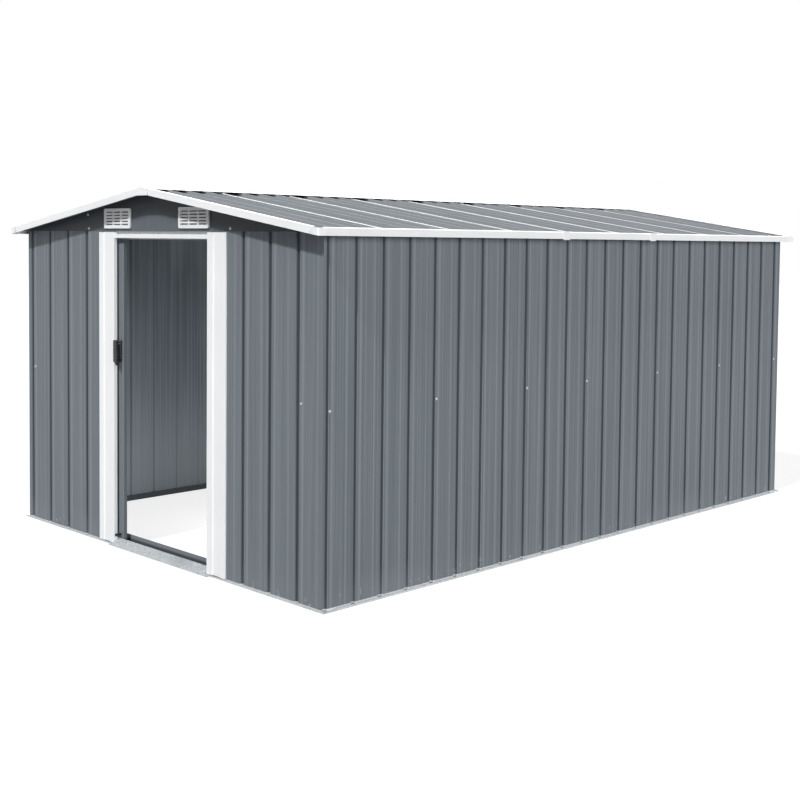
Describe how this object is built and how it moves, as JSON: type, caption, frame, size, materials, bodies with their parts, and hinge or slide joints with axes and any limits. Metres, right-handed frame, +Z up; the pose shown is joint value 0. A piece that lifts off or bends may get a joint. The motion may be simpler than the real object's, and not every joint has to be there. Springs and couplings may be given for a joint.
{
  "type": "metal storage shed",
  "caption": "Low gabled storage shed of ribbed steel sheet with white roof trims, gable vents, and a doorway closed by a door that slides behind the front wall.",
  "frame": {"origin": "on the ground, under the middle of the roof", "axes": "+X to the right for someone facing the doorway, +Y from the doorway to the back wall, +Z up"},
  "size_m": [2.594, 3.954, 1.81],
  "materials": {
    "grey_sheet": "satin paint",
    "roof_sheet": "satin paint",
    "white_trim": "satin paint",
    "white_plastic": "moulded",
    "galvanised": "galvanised",
    "dark_grey": "satin paint",
    "black_plastic": "moulded"
  },
  "bodies": {
    "shed": {"base_rail_front": "galvanised", "base_rail_left": "galvanised", "base_rail_rear": "galvanised", "base_rail_right": "galvanised", "corner_post_front_left": "grey_sheet", "corner_post_front_right": "grey_sheet", "corner_post_rear_left": "grey_sheet", "corner_post_rear_right": "grey_sheet", "door_hanger_rail": "galvanised", "door_header": "white_trim", "door_jamb_left": "white_trim", "door_jamb_right": "white_trim", "door_sill": "galvanised", "door_track_lower": "dark_grey", "eave_rail_left": "galvanised", "eave_rail_right": "galvanised", "eave_trim_left": "white_trim", "eave_trim_right": "white_trim", "front_gable": "grey_sheet", "front_vents": "white_plastic", "front_wall_left": "grey_sheet", "front_wall_right": "grey_sheet", "left_wall_panels": "grey_sheet", "rear_gable": "grey_sheet", "rear_vents": "white_plastic", "rear_wall_panels": "grey_sheet", "ridge_beam": "galvanised", "ridge_cap": "white_trim", "right_wall_panels": "grey_sheet", "roof_corner_caps": "white_plastic", "roof_joint_strips": "white_trim", "roof_panels_left": "roof_sheet", "roof_panels_right": "roof_sheet", "roof_purlins": "galvanised", "top_rail_front": "galvanised", "top_rail_rear": "galvanised", "verge_trim_front_left": "white_trim", "verge_trim_front_right": "white_trim", "verge_trim_rear_left": "white_trim", "verge_trim_rear_right": "white_trim"},
    "sliding_door": {"door_stiles": "grey_sheet", "door_panel": "grey_sheet", "door_rails": "grey_sheet", "door_hangers": "galvanised", "door_guides": "black_plastic", "door_handle": "black_plastic", "door_stop_peg": "black_plastic"}
  },
  "joints": [
    {"name": "door_slide", "type": "slide", "parent": "shed", "child": "sliding_door", "axis": [1, 0, 0], "range_m": [0, 0.751]}
  ]
}
